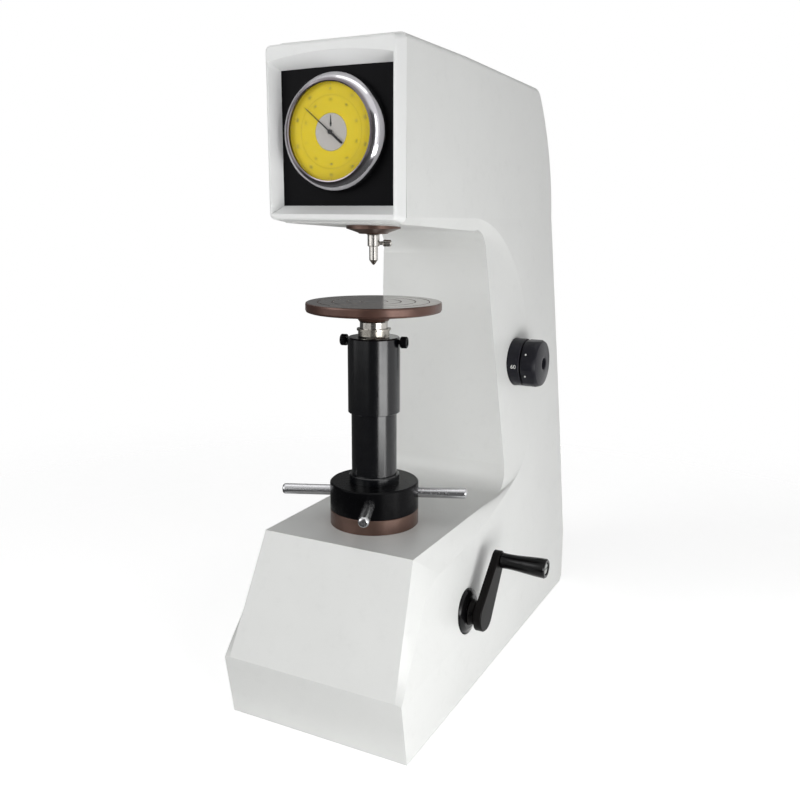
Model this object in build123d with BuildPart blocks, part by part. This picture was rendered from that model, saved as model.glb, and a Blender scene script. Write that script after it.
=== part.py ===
from build123d import *
from math import atan2, cos, radians, sin
import os

os.makedirs("parts", exist_ok=True)

# A bench hardness tester with a dead-weight lever. Millimetres, +Z up, -Y towards the operator.
# The origin is on the bench, where the test axis of screw, anvil, indenter and spindle meets it.

# ---- Driving dimensions ----

# C-shaped casting
base_half_width = 110.0
base_wall_top = 75.0
head_half_width = 74.5
crown_half_width = 73.5
head_bottom = 546.0
crown_z = 718.5
toe_y = -131.0
kink_y = -144.0
kink_z = 74.0
rear_y = 400.0
deck_z = 204.0
deck_front_y = -85.0
seam_y = -67.0
band_depth = 7.5
wall = 8.5
corner_r = 7.0
side_lean = atan2(base_half_width - head_half_width, head_bottom - base_wall_top)

# Test axis
anvil_top = 457.3
anvil_r = 75.0
screw_r = 17.5
hub_r = 50.7
hub_top = 253.1
hub_bottom = 221.1
rod_z = 239.5
rod_r = 6.0
rod_reach = 106.6
rod_phase = 22.9
lower_sleeve_r = 25.6
upper_sleeve_r = 29.2
sleeve_bottom = 333.6
sleeve_top = 418.7
tip_z = 496.8
spindle_r = 8.0
spindle_top = 589.5
flange_seat_z = 540.5

# Head front and gauge
bezel_front_y = -87.5
panel_y = -74.0
gauge_z = 629.4
dial_r = 47.5
centre_r = 17.6
counter_rise = 8.0
pointer_tilt = 50.5
neck_r = 45.0

# Load train
pivot_y = -14.0
pivot_z = 600.0
hanger_y = 305.0
lift_x = 24.0
lift_y = 205.0
rock_y = 110.0
rock_z = 80.0
cam_lift = 20.0

# Crank and load selector on the right-hand side
crank_y = 26.0
crank_z = 103.5
crank_arm_length = 66.85
crank_arm_angle = 49.9
crank_turn = 75.0
crank_seat_x = 105.5
crank_flange_r = 26.3
knob_y = 229.0
knob_z = 363.0
knob_seat_x = 82.5

# Clearances
running = 0.05
gap = 0.3

# Worked out from the above
lever_drop = 12.0
lever_angle = lever_drop / (hanger_y - pivot_y)
lift_drop = lever_angle * (lift_y - pivot_y)
rock_ratio = lift_drop / (lift_y - rock_y) / radians(crank_turn)
grip_y = crank_y + crank_arm_length * cos(radians(crank_arm_angle))
grip_z = crank_z + crank_arm_length * sin(radians(crank_arm_angle))


def filled(*points):
    """Face bounded by straight lines through the points, in the current sketch."""
    Polygon(*points, align=None)


def side_plane(side, inset):
    """Plane of a leaning side face (1 right, -1 left), moved inwards. Its y runs up the slope."""
    foot_x = base_half_width + base_wall_top * sin(side_lean) / cos(side_lean) - inset
    facing = (cos(side_lean), 0, side * sin(side_lean))
    return Plane(origin=(side * foot_x, 0, 0), x_dir=(0, 1, 0), z_dir=facing)


def on_side(y, z):
    """Sketch coordinates, on a side plane, of the point at this y and height."""
    return (y, z / cos(side_lean))


def across(x, y, z):
    """Plane square to the X axis, facing right, centred on the point, with its x along +Y."""
    return Plane(origin=(x, y, z), x_dir=(0, 1, 0), z_dir=(1, 0, 0))


# ---- Body casting: leaning sides, a C-shaped throat with a lofted band round it, hollow ----

with BuildPart() as throat:
    # Air of the throat: narrow outline between the bands' inner edges, wide one at the side faces.
    for plane, narrow in (
        (side_plane(-1, -0.2), False),
        (side_plane(-1, band_depth), True),
        (side_plane(1, band_depth), True),
        (side_plane(1, -0.2), False),
    ):
        with BuildSketch(plane):
            with BuildLine():
                if narrow:
                    Line(on_side(-200, 549), on_side(120, 532))
                    RadiusArc(on_side(120, 532), on_side(152.5, 503), 26)
                    Line(on_side(152.5, 503), on_side(180.5, 236))
                    RadiusArc(on_side(180.5, 236), on_side(152, deck_z), 30)
                    Line(on_side(152, deck_z), on_side(deck_front_y, deck_z))
                    Line(on_side(deck_front_y, deck_z), on_side(-100, 171))
                    Line(on_side(-100, 171), on_side(-134, 96))
                    Line(on_side(-134, 96), on_side(kink_y - 4, kink_z - 8.8))
                    Line(on_side(kink_y - 4, kink_z - 8.8), on_side(-200, kink_z - 8.8))
                    Line(on_side(-200, kink_z - 8.8), on_side(-200, 549))
                else:
                    Line(on_side(-200, 549.5), on_side(102, 547))
                    RadiusArc(on_side(102, 547), on_side(272, 377), 170)
                    Line(on_side(272, 377), on_side(272, 330))
                    ThreePointArc(on_side(272, 330), on_side(254, 252), on_side(196, 213))
                    ThreePointArc(on_side(196, 213), on_side(75, 184.5), on_side(-40, 173))
                    ThreePointArc(on_side(-40, 173), on_side(-74, 160), on_side(-93, 136))
                    Line(on_side(-93, 136), on_side(-130, 91))
                    Line(on_side(-130, 91), on_side(kink_y - 4, 66))
                    Line(on_side(kink_y - 4, 66), on_side(-200, 66))
                    Line(on_side(-200, 66), on_side(-200, 549.5))
            make_face()
    loft(ruled=True)

with BuildPart() as hollow:
    # Room inside the casting, open downwards and towards the head's front.
    with BuildSketch(Plane.YZ):
        with BuildLine():
            Polyline(
                (seam_y - 5, 552),
                (160, 552),
                (192, deck_z - 12),
                (-77, deck_z - 12),
                (-131, kink_z),
                (-120, -5),
                (388, -5),
                (388, 380),
                (380, 545),
            )
            ThreePointArc((380, 545), (359, 634), (316, 698))
            Polyline((316, 698), (300, 706), (seam_y - 5, 706), (seam_y - 5, 552))
        make_face()
    extrude(amount=base_half_width, both=True)
    with BuildSketch(Plane.XZ):
        inset = wall + band_depth
        filled(
            (-base_half_width + inset, -10),
            (base_half_width - inset, -10),
            (base_half_width - inset, base_wall_top),
            (head_half_width - inset, head_bottom),
            (crown_half_width - inset, crown_z),
            (-crown_half_width + inset, crown_z),
            (-head_half_width + inset, head_bottom),
            (-base_half_width + inset, base_wall_top),
        )
    extrude(amount=500, both=True, mode=Mode.INTERSECT)

with BuildPart() as body_casting:
    # Outside: the side view, narrowed by the front view, its outer edges rounded.
    with BuildSketch(Plane.YZ):
        with BuildLine():
            Polyline((kink_y, kink_z), (toe_y, 0), (rear_y - 4, 0), (rear_y, 4), (rear_y, 240), (392, 540))
            crown_arc = TangentArc((392, 540), (327, 706), tangent=(-0.04, 1))
            TangentArc((327, 706), (312, 713.2), tangent=crown_arc % 1)
            Polyline((312, 713.2), (80, crown_z), (seam_y, crown_z), (seam_y, 300), (kink_y, 300),
                     (kink_y, kink_z))
        make_face()
    extrude(amount=base_half_width + 5, both=True)
    with BuildSketch(Plane.XZ):
        filled(
            (-base_half_width, -10),
            (base_half_width, -10),
            (base_half_width, base_wall_top),
            (head_half_width, head_bottom),
            (crown_half_width, crown_z + 10),
            (-crown_half_width, crown_z + 10),
            (-head_half_width, head_bottom),
            (-base_half_width, base_wall_top),
        )
    extrude(amount=500, both=True, mode=Mode.INTERSECT)
    outer_edges = body_casting.edges().filter_by(
        lambda e: abs(e.center().X) > 60 and (e.center().Y > 320 or e.center().Z > 700)
    )
    fillet(outer_edges, corner_r)
    add(throat.part, mode=Mode.SUBTRACT)
    add(hollow.part, mode=Mode.SUBTRACT)
    # Bosses, lugs and ribs inside.
    with BuildSketch(Plane.XY.offset(60)):
        Circle(46)
    extrude(amount=deck_z - 10 - 60)
    with BuildSketch(Plane.XY.offset(flange_seat_z)):
        Circle(24)
    extrude(amount=562 - flange_seat_z)
    with BuildSketch(across(76, crank_y, crank_z)):
        Circle(20)
    extrude(amount=20)
    with BuildSketch(across(58, knob_y, knob_z)):
        Circle(17)
    extrude(amount=18)
    with BuildSketch(across(-76, knob_y, knob_z)):
        Circle(14)
    extrude(amount=14)
    with BuildSketch(across(76, rock_y, rock_z)):
        Circle(16)
    extrude(amount=20)
    with BuildSketch(across(-8, rock_y, 0)):
        filled((-14, 62), (14, 62), (14, deck_z - 10), (-14, deck_z - 10))
    extrude(amount=12)
    with BuildSketch(Plane.XY.offset(14)):
        with Locations((0, hanger_y)):
            Rectangle(2 * base_half_width - 26, 74)
    extrude(amount=12)
    with BuildSketch(Plane.XY.offset(444)):
        with Locations((lift_x, 190)):
            Rectangle(28, 56)
    extrude(amount=14)
    # Machined seats and bores.
    with BuildSketch(Plane.XY.offset(flange_seat_z)):
        Circle(30)
    extrude(amount=-20, mode=Mode.SUBTRACT)
    with BuildSketch(Plane.XY.offset(500)):
        Circle(14)
    extrude(amount=100, mode=Mode.SUBTRACT)
    with BuildSketch(Plane.XY.offset(50)):
        Circle(27)
    extrude(amount=170, mode=Mode.SUBTRACT)
    with BuildSketch(across(70, crank_y, crank_z)):
        Circle(12)
    extrude(amount=50, mode=Mode.SUBTRACT)
    with BuildSketch(across(crank_seat_x, crank_y, crank_z)):
        Circle(crank_flange_r + 0.5)
    extrude(amount=20, mode=Mode.SUBTRACT)
    with BuildSketch(across(50, knob_y, knob_z)):
        Circle(10)
    extrude(amount=50, mode=Mode.SUBTRACT)
    with BuildSketch(across(knob_seat_x, knob_y, knob_z)):
        Circle(31.4)
    extrude(amount=20, mode=Mode.SUBTRACT)
    with BuildSketch(across(-72, knob_y, knob_z)):
        Circle(6 + running)
    extrude(amount=20, mode=Mode.SUBTRACT)
    with BuildSketch(across(-20, rock_y, rock_z)):
        Circle(8 + running)
    extrude(amount=110, mode=Mode.SUBTRACT)
    with BuildSketch(Plane.XY.offset(440)):
        with Locations((lift_x, lift_y)):
            Circle(9)
    extrude(amount=30, mode=Mode.SUBTRACT)
    # Rear and top openings, each with a shallow seat for its cover and four tapped holes.
    with BuildSketch(Plane.XZ.offset(-380)):
        with Locations((0, 250)):
            RectangleRounded(100, 292, 8)
    extrude(amount=-40, mode=Mode.SUBTRACT)
    with BuildSketch(Plane.XZ.offset(-395)):
        with Locations((0, 250)):
            RectangleRounded(120.6, 324.6, 6)
    extrude(amount=-20, mode=Mode.SUBTRACT)
    with BuildSketch(Plane.XZ.offset(-386)):
        with Locations((0, 250)):
            with GridLocations(110, 308, 2, 2):
                Circle(2)
    extrude(amount=-20, mode=Mode.SUBTRACT)
    with BuildSketch(Plane.XY.offset(700)):
        with Locations((0, 130)):
            RectangleRounded(92, 224, 8)
    extrude(amount=30, mode=Mode.SUBTRACT)
    with BuildSketch(Plane.XY.offset(713)):
        with Locations((0, 130)):
            RectangleRounded(112.6, 244.6, 6)
    extrude(amount=20, mode=Mode.SUBTRACT)
    with BuildSketch(Plane.XY.offset(704)):
        with Locations((0, 130)):
            with GridLocations(102, 234, 2, 2):
                Circle(2)
    extrude(amount=20, mode=Mode.SUBTRACT)
body_casting.part.label = "body_casting"
export_step(body_casting.part, "parts/body_casting.step")

# ---- Covers of the casting, with their screws ----

with BuildPart() as rear_cover:
    with BuildSketch(Plane.XZ.offset(-395.05)):
        with Locations((0, 250)):
            RectangleRounded(120, 324, 5.7)
    extrude(amount=-2)
    with BuildSketch(Plane.XZ.offset(-395.05)):
        with Locations((0, 250)):
            with GridLocations(110, 308, 2, 2):
                Circle(2.2)
    extrude(amount=-2, mode=Mode.SUBTRACT)
rear_cover.part.label = "rear_cover"
export_step(rear_cover.part, "parts/rear_cover.step")

with BuildPart() as top_cover:
    with BuildSketch(Plane.XY.offset(713.05)):
        with Locations((0, 130)):
            RectangleRounded(112, 244, 5.7)
    extrude(amount=2)
    with BuildSketch(Plane.XY.offset(713.05)):
        with Locations((0, 130)):
            with GridLocations(102, 234, 2, 2):
                Circle(2.2)
    extrude(amount=2, mode=Mode.SUBTRACT)
top_cover.part.label = "top_cover"
export_step(top_cover.part, "parts/top_cover.step")

with BuildPart() as cover_screws:
    # One pan-headed screw size for both covers.
    for plate, centre, spacing in (
        (Plane.XZ.offset(-397.1), (0, 250), (110, 308)),
        (Plane.XY.offset(715.1), (0, 130), (102, 234)),
    ):
        outward = -1 if plate.z_dir.Y < 0 else 1
        with BuildSketch(plate):
            with Locations(centre):
                with GridLocations(*spacing, 2, 2):
                    Circle(3.8)
        extrude(amount=2.2 * outward)
        with BuildSketch(plate):
            with Locations(centre):
                with GridLocations(*spacing, 2, 2):
                    Circle(1.95)
        extrude(amount=-8 * outward)
cover_screws.part.label = "cover_screws"
export_step(cover_screws.part, "parts/cover_screws.step")

# ---- Head front: bezel frame, black panel and gauge case ----

with BuildPart() as front_bezel:
    # Frame drafted towards the front, its opening a picture-frame bevel down to the panel.
    with BuildSketch(Plane.XZ.offset(-bezel_front_y)):
        with Locations((0, 629.5)):
            RectangleRounded(147, 167.5, 6)
    with BuildSketch(Plane.XZ.offset(-seam_y + 0.2)):
        with Locations((0, 630)):
            RectangleRounded(148.4, 174.2, 6)
    loft(ruled=True)
    with BuildSketch(Plane.XZ.offset(-bezel_front_y + 0.1)):
        with BuildLine():
            Polyline((-70.5, 698), (-70.5, 551), (70.5, 551), (70.5, 698))
            ThreePointArc((70.5, 698), (0, 704.5), (-70.5, 698))
        make_face()
    with BuildSketch(Plane.XZ.offset(-panel_y)):
        with BuildLine():
            Polyline((-64, 691), (-64, 559.4), (64, 559.4), (64, 691))
            ThreePointArc((64, 691), (0, 691.6), (-64, 691))
        make_face()
    loft(ruled=True, mode=Mode.SUBTRACT)
    with BuildSketch(Plane.XZ.offset(-panel_y)):
        with Locations((0, 625.5)):
            Rectangle(134.4, 138.4)
    extrude(amount=-10, mode=Mode.SUBTRACT)
    front_rim = front_bezel.faces().sort_by(Axis.Y)[0].outer_wire().edges()
    fillet(front_rim, 2.3)
    rear_rim = front_bezel.faces().sort_by(Axis.Y)[-1].outer_wire().edges()
    chamfer(rear_rim, 0.8)
front_bezel.part.label = "front_bezel"
export_step(front_bezel.part, "parts/front_bezel.step")

with BuildPart() as gauge_panel:
    with BuildSketch(Plane.XZ.offset(-panel_y - 0.05)):
        with Locations((0, 625.5)):
            RectangleRounded(134, 138, 3)
        with Locations((0, gauge_z)):
            Circle(49, mode=Mode.SUBTRACT)
    extrude(amount=-4)
gauge_panel.part.label = "gauge_panel"
export_step(gauge_panel.part, "parts/gauge_panel.step")


def gauge_section(*points):
    """Half section of a piece turned about the gauge axis: points are (radius, y)."""
    with BuildSketch(Plane.XY.offset(gauge_z)) as section:
        Polygon(*points, align=None)
    revolve(section.sketch, axis=Axis((0, 0, gauge_z), (0, 1, 0)))


with BuildPart() as gauge_case:
    # Movement case with a flange behind the panel and a neck that carries the dial ring.
    gauge_section((0, -82), (neck_r, -82), (neck_r, -73.9), (48.8, -73.9), (48.8, -69.9), (54, -69.9),
                  (54, -66.5), (47, -66.5), (47, -42), (44, -40), (0, -40))
    with BuildSketch(Plane.XZ.offset(90)):
        with Locations((0, gauge_z)):
            Circle(1.55)
        with Locations((0, gauge_z + counter_rise)):
            Circle(1.05)
    extrude(amount=-20, mode=Mode.SUBTRACT)
gauge_case.part.label = "gauge_case"
export_step(gauge_case.part, "parts/gauge_case.step")

with BuildPart() as dial_ring:
    # Chromed ring, convex outside, turned by hand to bring the scale to zero.
    with BuildSketch(Plane.XY.offset(gauge_z)):
        with BuildLine():
            Polyline((neck_r + running, -74.3), (56.6, -74.3), (57, -74.7), (57, -77.5))
            ThreePointArc((57, -77.5), (54.6, -84.2), (49.2, -89.2))
            Line((49.2, -89.2), (47.4, -89.8))
            Polyline((47.4, -89.8), (46.2, -89.4), (46.2, -88.7), (dial_r, -88.7), (dial_r, -83.4),
                     (neck_r + running, -83.4), (neck_r + running, -74.3))
        make_face()
    revolve(axis=Axis((0, 0, gauge_z), (0, 1, 0)))
dial_ring.part.label = "dial_ring"
export_step(dial_ring.part, "parts/dial_ring.step")

with BuildPart() as dial_face:
    # Scale disc, carried round by the ring.
    gauge_section((centre_r + gap, -83.5), (dial_r - 0.1, -83.5), (dial_r - 0.1, -84.3),
                  (centre_r + gap, -84.3))
dial_face.part.label = "dial_face"
export_step(dial_face.part, "parts/dial_face.step")

with BuildPart() as dial_centre:
    # Fixed centre disc with the small turns counter.
    gauge_section((0, -82.05), (centre_r, -82.05), (centre_r, -84.3), (0, -84.3))
    with BuildSketch(Plane.XZ.offset(90)):
        with Locations((0, gauge_z)):
            Circle(1.55)
        with Locations((0, gauge_z + counter_rise)):
            Circle(1.05)
    extrude(amount=-20, mode=Mode.SUBTRACT)
dial_centre.part.label = "dial_centre"
export_step(dial_centre.part, "parts/dial_centre.step")

with BuildPart() as dial_crystal:
    gauge_section((0, -87.5), (dial_r - 0.1, -87.5), (dial_r - 0.1, -88.6), (0, -88.6))
dial_crystal.part.label = "dial_crystal"
export_step(dial_crystal.part, "parts/dial_crystal.step")

with BuildPart() as long_pointer:
    # Blade with a thicker tail, its hub and its arbor.
    with BuildSketch(Plane.XZ.offset(86.2)):
        with Locations(Location((0, gauge_z, 0), pointer_tilt)):
            Polygon((-0.25, 37), (0.25, 37), (0.7, 0), (1.2, -5), (1.2, -17.5), (-1.2, -17.5),
                    (-1.2, -5), (-0.7, 0), align=None)
    extrude(amount=0.4)
    with BuildSketch(Plane.XZ.offset(85.6)):
        with Locations((0, gauge_z)):
            Circle(2.4)
    extrude(amount=1.3)
    with BuildSketch(Plane.XZ.offset(80.5)):
        with Locations((0, gauge_z)):
            Circle(1.5)
    extrude(amount=6)
long_pointer.part.label = "long_pointer"
export_step(long_pointer.part, "parts/long_pointer.step")

with BuildPart() as small_pointer:
    # The small hand lies close over the centre disc, under the long one.
    with BuildSketch(Plane.XZ.offset(84.6)):
        with Locations((0, gauge_z + counter_rise)):
            Polygon((-0.2, 7.5), (0.2, 7.5), (0.7, -2.5), (-0.7, -2.5), align=None)
    extrude(amount=0.3)
    with BuildSketch(Plane.XZ.offset(78)):
        with Locations((0, gauge_z + counter_rise)):
            Circle(1)
    extrude(amount=6.9)
small_pointer.part.label = "small_pointer"
export_step(small_pointer.part, "parts/small_pointer.step")


def turned(*points):
    """Solid turned about the test axis: points are (radius, z)."""
    with BuildSketch(Plane.XZ) as section:
        Polygon(*points, align=None)
    revolve(section.sketch, axis=Axis.Z)


# ---- Test axis, from the bench up: screw bush, bearing, handwheel, screw, sleeves, anvil ----

key_low = 130.0
key_high = 160.0

with BuildPart() as screw_bush:
    turned((screw_r + 0.08, 100), (27, 100), (27, deck_z), (screw_r + 0.08, deck_z))
    with BuildSketch(Plane.XY.offset(key_low)):
        with Locations((0, -22)):
            Rectangle(6, 12)
    extrude(amount=key_high - key_low, mode=Mode.SUBTRACT)
screw_bush.part.label = "screw_bush"
export_step(screw_bush.part, "parts/screw_bush.step")

with BuildPart() as guide_key:
    # Lets the screw slide and keeps it from turning with the handwheel.
    with BuildSketch(Plane.XY.offset(key_low)):
        with Locations((0, -20.6)):
            Rectangle(6, 11.6)
    extrude(amount=key_high - key_low)
guide_key.part.label = "guide_key"
export_step(guide_key.part, "parts/guide_key.step")

with BuildPart() as deck_flange:
    turned((21, deck_z), (hub_r, deck_z), (hub_r, hub_bottom - 0.9), (hub_r - 0.8, hub_bottom - 0.1),
           (38, hub_bottom - 0.1), (38, 211), (21, 211))
deck_flange.part.label = "deck_flange"
export_step(deck_flange.part, "parts/deck_flange.step")

with BuildPart() as thrust_bearing:
    # Two races with the ring of balls between them.
    turned((22, 211.1), (37.5, 211.1), (37.5, 214), (32, 214), (32, 218), (37.5, 218),
           (37.5, hub_bottom - 0.1), (22, hub_bottom - 0.1), (22, 218), (27, 218), (27, 214), (22, 214))
thrust_bearing.part.label = "thrust_bearing"
export_step(thrust_bearing.part, "parts/thrust_bearing.step")

with BuildPart() as handwheel_hub:
    turned((screw_r + 0.08, hub_bottom), (hub_r - 0.8, hub_bottom), (hub_r, hub_bottom + 0.8),
           (hub_r, hub_top - 1.5), (hub_r - 1.5, hub_top), (lower_sleeve_r + 0.1, hub_top),
           (lower_sleeve_r + 0.1, 246), (screw_r + 0.08, 246))
    with PolarLocations(0, 4, rod_phase):
        with Locations(Location((30, 0, rod_z), (0, 90, 0))):
            Cylinder(rod_r + 0.02, 40, align=(Align.CENTER, Align.CENTER, Align.MIN), mode=Mode.SUBTRACT)
handwheel_hub.part.label = "handwheel_hub"
export_step(handwheel_hub.part, "parts/handwheel_hub.step")

with BuildPart() as handwheel_rods:
    with PolarLocations(0, 4, rod_phase):
        with Locations(Location((30.2, 0, rod_z), (0, 90, 0))):
            Cylinder(rod_r, rod_reach - 30.2, align=(Align.CENTER, Align.CENTER, Align.MIN))
    rod_tips = handwheel_rods.edges().filter_by(
        lambda e: e.geom_type == GeomType.CIRCLE and (e.center().X ** 2 + e.center().Y ** 2) ** 0.5 > 100
    )
    fillet(rod_tips, 3.2)
handwheel_rods.part.label = "handwheel_rods"
export_step(handwheel_rods.part, "parts/handwheel_rods.step")

with BuildPart() as lower_sleeve:
    turned((22, 246.1), (lower_sleeve_r, 246.1), (lower_sleeve_r, hub_top + 0.1), (28.5, hub_top + 0.1),
           (28.5, 261), (27.5, 262), (lower_sleeve_r, 262), (lower_sleeve_r, 370), (22, 370))
lower_sleeve.part.label = "lower_sleeve"
export_step(lower_sleeve.part, "parts/lower_sleeve.step")

with BuildPart() as lifting_screw:
    turned((0, 80), (16.5, 80), (screw_r, 81), (screw_r, 426), (18.9, 426), (18.9, 428),
           (12.5, 428), (12.5, 398), (0, 396))
    with BuildSketch(Plane.XY.offset(79)):
        with Locations((0, -19.2)):
            Rectangle(6.3, 9)
    extrude(amount=127, mode=Mode.SUBTRACT)
lifting_screw.part.label = "lifting_screw"
export_step(lifting_screw.part, "parts/lifting_screw.step")

thumb_z = 413.5
thumb_phase = 10.0

with BuildPart() as upper_sleeve:
    turned((lower_sleeve_r + gap, sleeve_bottom), (upper_sleeve_r - 0.6, sleeve_bottom),
           (upper_sleeve_r, sleeve_bottom + 0.6), (upper_sleeve_r, sleeve_top - 1.5),
           (upper_sleeve_r - 1.5, sleeve_top), (screw_r + 0.08, sleeve_top), (screw_r + 0.08, 406),
           (lower_sleeve_r + gap, 406))
    with PolarLocations(0, 2, thumb_phase):
        with Locations(Location((15, 0, thumb_z), (0, 90, 0))):
            Cylinder(2.52, 20, align=(Align.CENTER, Align.CENTER, Align.MIN), mode=Mode.SUBTRACT)
upper_sleeve.part.label = "upper_sleeve"
export_step(upper_sleeve.part, "parts/upper_sleeve.step")

with BuildPart() as sleeve_thumb_screws:
    with PolarLocations(0, 2, thumb_phase):
        with Locations(Location((screw_r + 0.1, 0, thumb_z), (0, 90, 0))):
            Cylinder(2.5, 16, align=(Align.CENTER, Align.CENTER, Align.MIN))
        with Locations(Location((31.6, 0, thumb_z), (0, 90, 0))):
            Cylinder(6.5, 7, align=(Align.CENTER, Align.CENTER, Align.MIN))
    heads = sleeve_thumb_screws.edges().filter_by(
        lambda e: e.geom_type == GeomType.CIRCLE and e.radius > 6
    )
    chamfer(heads, 0.8)
sleeve_thumb_screws.part.label = "sleeve_thumb_screws"
export_step(sleeve_thumb_screws.part, "parts/sleeve_thumb_screws.step")

with BuildPart() as flat_anvil:
    with BuildSketch(Plane.XZ):
        with BuildLine():
            Polyline((0, anvil_top), (anvil_r - 1.6, anvil_top), (anvil_r - 0.4, anvil_top - 0.6),
                     (anvil_r, anvil_top - 2), (anvil_r, 449), (anvil_r - 0.9, 447.2), (anvil_r - 3, 446.5),
                     (32, 446.2), (24.5, 443.6), (19, 439.8), (15.5, 435), (15.5, 428.1), (12.45, 428.1),
                     (12.45, 400.5), (11, 399), (0, 399), (0, anvil_top))
        make_face()
        for groove_r in (15, 30, 46, 61.5):
            Polygon((groove_r - 0.9, anvil_top + 0.1), (groove_r + 0.9, anvil_top + 0.1),
                    (groove_r, anvil_top - 0.9), align=None, mode=Mode.SUBTRACT)
    revolve(axis=Axis.Z)
flat_anvil.part.label = "flat_anvil"
export_step(flat_anvil.part, "parts/flat_anvil.step")

# ---- Test axis, from the head down: flange, bush, spindle, spring, indenter and its screw ----

collar_z = 566.0
bridge_z = 584.0
clamp_z = 520.5
clamp_phase = 20.0

with BuildPart() as spindle_flange:
    turned((spindle_r + 0.4, 530.5), (15.5, 530.5), (16.5, 531.5), (29.4, 536), (29.4, flange_seat_z - 0.1),
           (spindle_r + 0.4, flange_seat_z - 0.1))
spindle_flange.part.label = "spindle_flange"
export_step(spindle_flange.part, "parts/spindle_flange.step")

with BuildPart() as spindle_bush:
    turned((spindle_r + running, flange_seat_z + 0.1), (14, flange_seat_z + 0.1), (14, 562),
           (spindle_r + running, 562))
spindle_bush.part.label = "spindle_bush"
export_step(spindle_bush.part, "parts/spindle_bush.step")

with BuildPart() as spindle:
    turned((3.02, 517), (5.9, 517), (6.5, 517.6), (6.5, 529), (spindle_r, 530.5), (spindle_r, collar_z),
           (12, collar_z), (12, collar_z + 2), (spindle_r, collar_z + 2), (spindle_r, spindle_top - 1),
           (spindle_r - 1, spindle_top), (0, spindle_top), (0, 536), (3.02, 535))
    with Locations(Location((0, 0, clamp_z), (0, 0, clamp_phase)) * Location((2, 0, 0), (0, 90, 0))):
        Cylinder(2.02, 10, align=(Align.CENTER, Align.CENTER, Align.MIN), mode=Mode.SUBTRACT)
spindle.part.label = "spindle"
export_step(spindle.part, "parts/spindle.step")

with BuildPart() as indenter:
    turned((0, tip_z), (1.6, tip_z + 1.3), (4.7, 502.5), (4.7, 516.9), (3, 516.9), (3, 534), (0, 534))
indenter.part.label = "indenter"
export_step(indenter.part, "parts/indenter.step")

with BuildPart() as indenter_screw:
    with Locations(Location((0, 0, clamp_z), (0, 0, clamp_phase)) * Location((3.1, 0, 0), (0, 90, 0))):
        Cylinder(2, 8, align=(Align.CENTER, Align.CENTER, Align.MIN))
    with Locations(Location((0, 0, clamp_z), (0, 0, clamp_phase)) * Location((10.5, 0, 0), (0, 90, 0))):
        Cylinder(3.6, 9, align=(Align.CENTER, Align.CENTER, Align.MIN))
indenter_screw.part.label = "indenter_screw"
export_step(indenter_screw.part, "parts/indenter_screw.step")

with BuildPart() as preload_spring:
    # Coil that holds the spindle down against its collar, made as its closed outline of rings.
    with BuildSketch(Plane.XZ):
        for turn in range(4):
            with Locations((10.4, collar_z + 3.6 + 3.6 * turn)):
                Rectangle(2, 2)
        with Locations((10.4, (collar_z + bridge_z) / 2 + 1)):
            Rectangle(0.8, bridge_z - collar_z - 4.8)
    revolve(axis=Axis.Z)
preload_spring.part.label = "preload_spring"
export_step(preload_spring.part, "parts/preload_spring.step")

# ---- Load train in the head and the column ----

cheek_in = 27.0
cheek_out = 34.0

with BuildPart() as lever_bracket:
    # Base round the spindle boss, two cheeks for the lever's pivot, a bridge above the spring.
    with BuildSketch(Plane.XY.offset(552.05)):
        Rectangle(2 * cheek_out, 66)
        Circle(24.4, mode=Mode.SUBTRACT)
    extrude(amount=5)
    for side in (-1, 1):
        with BuildSketch(across(side * (cheek_in + cheek_out) / 2, 0, 0)):
            Polygon((-33, 552.05), (-27, 612), (0, 612), (33, 552.05), align=None)
        extrude(amount=(cheek_out - cheek_in) / 2, both=True)
    with BuildSketch(Plane.XY.offset(bridge_z)):
        with Locations((0, 1)):
            Rectangle(2 * cheek_in + 2, 26)
        Circle(spindle_r + 0.5, mode=Mode.SUBTRACT)
    extrude(amount=4)
    with BuildSketch(across(-50, pivot_y, pivot_z)):
        Circle(4 + running)
    extrude(amount=100, mode=Mode.SUBTRACT)
lever_bracket.part.label = "lever_bracket"
export_step(lever_bracket.part, "parts/lever_bracket.step")

with BuildPart() as main_lever:
    with BuildSketch(across(-7, 0, 0)):
        Polygon((-26, 592), (-26, 606), (-10, 616), (60, 618), (hanger_y + 10, 607),
                (hanger_y + 14, 603), (hanger_y + 14, 596), (hanger_y + 10, 592), align=None)
    extrude(amount=14)
    for y, r in ((pivot_y, 4), (lift_y, 3.5), (hanger_y, 3.5)):
        with BuildSketch(across(-8, y, pivot_z)):
            Circle(r + 0.02)
        extrude(amount=16, mode=Mode.SUBTRACT)
main_lever.part.label = "main_lever"
export_step(main_lever.part, "parts/main_lever.step")

with BuildPart() as lever_pins:
    for y, r, low_x, high_x in (
        (pivot_y, 4, -cheek_out - 2, cheek_out + 2),
        (lift_y, 3.5, -7, lift_x + 8),
        (hanger_y, 3.5, -14, 14),
    ):
        with BuildSketch(across(low_x, y, pivot_z)):
            Circle(r)
        extrude(amount=high_x - low_x)
lever_pins.part.label = "lever_pins"
export_step(lever_pins.part, "parts/lever_pins.step")

weight_low = 262.0
weight_pitch = 28.0

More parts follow.
